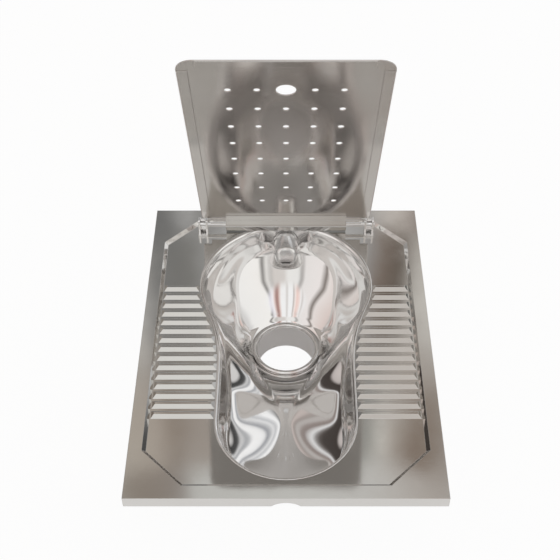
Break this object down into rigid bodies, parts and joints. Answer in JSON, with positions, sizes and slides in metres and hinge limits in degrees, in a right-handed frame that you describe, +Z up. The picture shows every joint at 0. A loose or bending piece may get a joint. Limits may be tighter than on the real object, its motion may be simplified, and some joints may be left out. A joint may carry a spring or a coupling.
{
  "type": "squat toilet",
  "caption": "Stainless steel squat toilet pan with ribbed treads, keyhole bowl, flush nozzle, open outlet spigot and a hinged perforated cover.",
  "frame": {"origin": "middle of the deck in plan, on the plane of the apron's lower edge, which sits on the finished floor", "axes": "+Z up, +Y towards the back with the hinge and the flush inlet, +X to the right as seen from the front, as in the picture"},
  "size_m": [0.43, 0.566, 0.6249],
  "materials": {
    "steel_satin": "bright rolled stainless sheet, light scratches",
    "steel_mirror": "polished stainless sheet",
    "steel_matt": "matt unpolished stainless strip"
  },
  "bodies": {
    "pan": {"deck_tray": "steel_satin", "bowl_basin": "steel_mirror", "bowl_trough": "steel_mirror", "outlet_collar": "steel_mirror", "outlet_pipe": "steel_mirror", "flush_nozzle": "steel_mirror", "nozzle_collar": "steel_mirror", "inlet_pipe": "steel_satin", "inlet_flange": "steel_satin", "hinge_bracket_left": "steel_satin", "hinge_bracket_right": "steel_satin", "hinge_rod": "steel_satin", "tread_stiffener_left": "steel_matt", "tread_stiffener_right": "steel_matt", "anchor_lug_front_left": "steel_matt", "anchor_lug_front_right": "steel_matt", "anchor_lug_rear_left": "steel_matt", "anchor_lug_rear_right": "steel_matt"},
    "cover": {"cover_leaf": "steel_satin", "cover_panel": "steel_satin"}
  },
  "joints": [
    {"name": "cover_hinge", "type": "hinge", "parent": "pan", "child": "cover", "pos_m": [0, 0.2398, 0.026], "axis": [-1, 0, 0], "range_deg": [-66.5, 30]}
  ]
}
